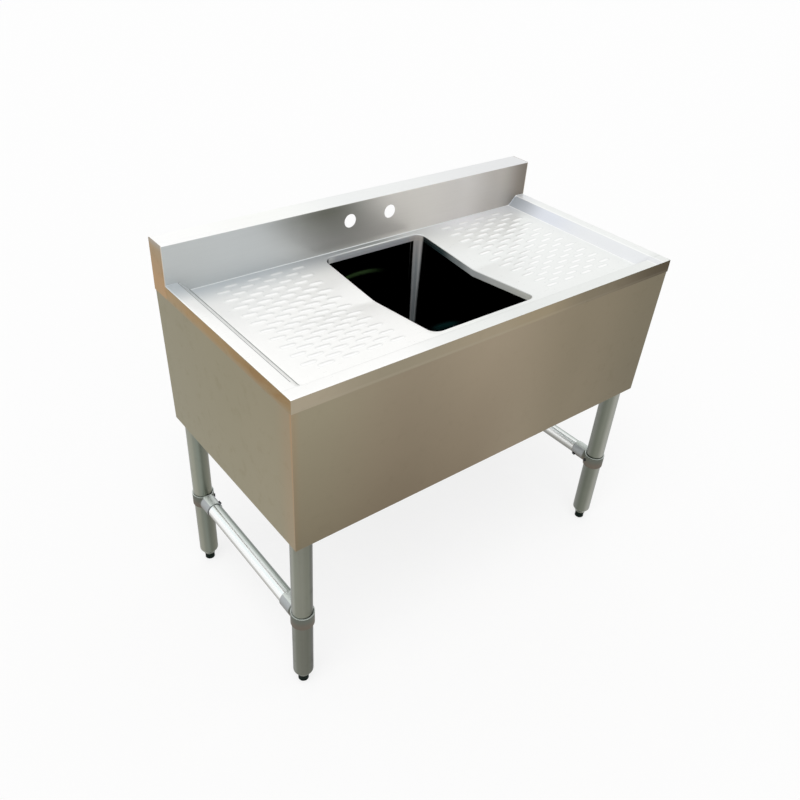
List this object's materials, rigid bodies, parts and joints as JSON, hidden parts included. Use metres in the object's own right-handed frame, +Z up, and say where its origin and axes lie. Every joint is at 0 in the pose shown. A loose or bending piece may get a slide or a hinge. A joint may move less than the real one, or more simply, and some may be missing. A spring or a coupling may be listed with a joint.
{
  "type": "underbar sink",
  "caption": "Free-standing steel underbar sink: central bowl between two embossed drainboards, backsplash with faucet holes, deep aprons, tube legs with side rails and adjustable feet.",
  "frame": {"origin": "on the floor under the middle of the sink's outline, with the feet screwed fully in", "axes": "+X to the user's right along the sink, +Y from the front apron to the backsplash, +Z up"},
  "size_m": [0.9144, 0.4762, 0.8065],
  "materials": {
    "deck_steel": "fine brushed, bright",
    "splash_steel": "fine brushed, satin",
    "apron_steel": "fine brushed, satin",
    "bowl_steel": "polished",
    "drain_steel": "polished",
    "brass": "turned",
    "rubber": "matt",
    "fibre": "matt",
    "white_plastic": "matt",
    "screw_steel": "black oxide",
    "rail_steel": "bright drawn",
    "leg_steel": "galvanized, satin",
    "cast_zinc": "as cast",
    "black_plastic": "matt"
  },
  "bodies": {
    "sink_frame": {"backsplash": "splash_steel", "bowl": "bowl_steel", "coupling_nut": "brass", "deck": "deck_steel", "drain_body": "drain_steel", "drain_friction_washer": "fibre", "drain_gasket": "rubber", "drain_locknut": "brass", "front_apron": "apron_steel", "front_left_leg": "leg_steel", "front_left_leg_plug": "black_plastic", "front_left_leg_socket": "leg_steel", "front_left_tee": "cast_zinc", "front_right_leg": "leg_steel", "front_right_leg_plug": "black_plastic", "front_right_leg_socket": "leg_steel", "front_right_tee": "cast_zinc", "left_apron": "apron_steel", "left_channel": "apron_steel", "left_rail": "rail_steel", "rear_angle": "apron_steel", "rear_left_leg": "leg_steel", "rear_left_leg_plug": "black_plastic", "rear_left_leg_socket": "leg_steel", "rear_left_tee": "cast_zinc", "rear_right_leg": "leg_steel", "rear_right_leg_plug": "black_plastic", "rear_right_leg_socket": "leg_steel", "rear_right_tee": "cast_zinc", "right_apron": "apron_steel", "right_channel": "apron_steel", "right_rail": "rail_steel", "socket_set_screws": "screw_steel", "splash_end_left": "splash_steel", "splash_end_right": "splash_steel", "tailpiece": "drain_steel", "tailpiece_washer": "white_plastic", "tee_set_screws": "screw_steel"},
    "basket": {"strainer_basket": "drain_steel", "basket_stopper": "rubber", "basket_knob": "drain_steel"},
    "front_left_foot_body": {"front_left_foot": "black_plastic"},
    "front_right_foot_body": {"front_right_foot": "black_plastic"},
    "rear_left_foot_body": {"rear_left_foot": "black_plastic"},
    "rear_right_foot_body": {"rear_right_foot": "black_plastic"}
  },
  "joints": [
    {"name": "basket_lift", "type": "slide", "parent": "sink_frame", "child": "basket", "axis": [0, 0, 1], "range_m": [0, 0.08]},
    {"name": "front_left_foot_screw", "type": "slide", "parent": "sink_frame", "child": "front_left_foot_body", "axis": [0, 0, -1], "range_m": [0, 0.025]},
    {"name": "front_right_foot_screw", "type": "slide", "parent": "sink_frame", "child": "front_right_foot_body", "axis": [0, 0, -1], "range_m": [0, 0.025]},
    {"name": "rear_left_foot_screw", "type": "slide", "parent": "sink_frame", "child": "rear_left_foot_body", "axis": [0, 0, -1], "range_m": [0, 0.025]},
    {"name": "rear_right_foot_screw", "type": "slide", "parent": "sink_frame", "child": "rear_right_foot_body", "axis": [0, 0, -1], "range_m": [0, 0.025]}
  ]
}
